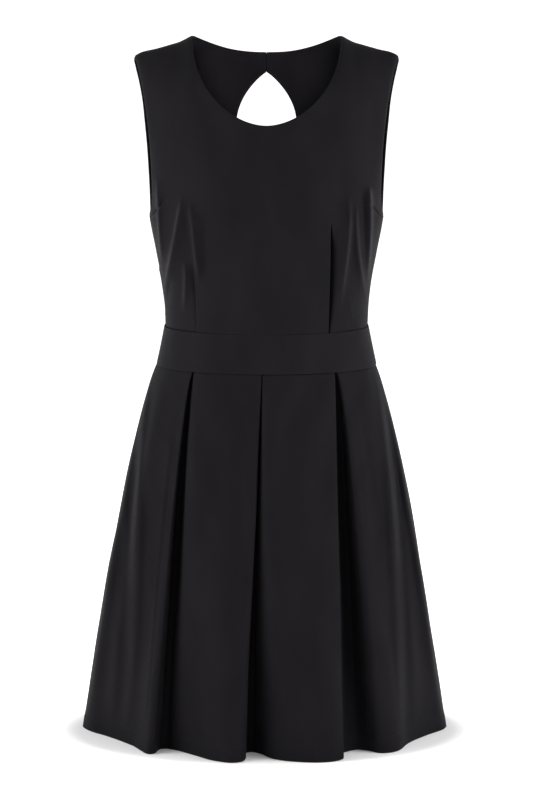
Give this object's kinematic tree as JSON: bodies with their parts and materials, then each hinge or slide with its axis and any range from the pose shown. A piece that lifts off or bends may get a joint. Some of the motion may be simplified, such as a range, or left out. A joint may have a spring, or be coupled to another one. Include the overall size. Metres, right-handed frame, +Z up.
{
  "type": "cocktail dress",
  "caption": "Sleeveless fit-and-flare cocktail dress with scoop neck, keyhole back, set-in waistband and inverted pleats in the skirt, filled out with no wearer.",
  "frame": {"origin": "Midway between the two shoulder seams, where the wearer's shoulders hold the dress.", "axes": "+Z runs up from the hem to the neck, -Y is the way the front faces, +X is the viewer's right when looking at the front."},
  "size_m": [0.4676, 0.3702, 0.8861],
  "materials": {
    "crepe": "black stretch crepe, fine matt weave with a faint sheen",
    "band_crepe": "black stretch crepe in two layers, fine matt weave",
    "button": "button covered in the black dress cloth",
    "thread": "black thread loop"
  },
  "bodies": {
    "root": {"bodice_front": "crepe", "bodice_back": "crepe", "waistband_front": "band_crepe", "waistband_back": "band_crepe", "skirt_front": "crepe", "skirt_back": "crepe", "neck_button": "button", "neck_loop": "thread"}
  },
  "joints": []
}
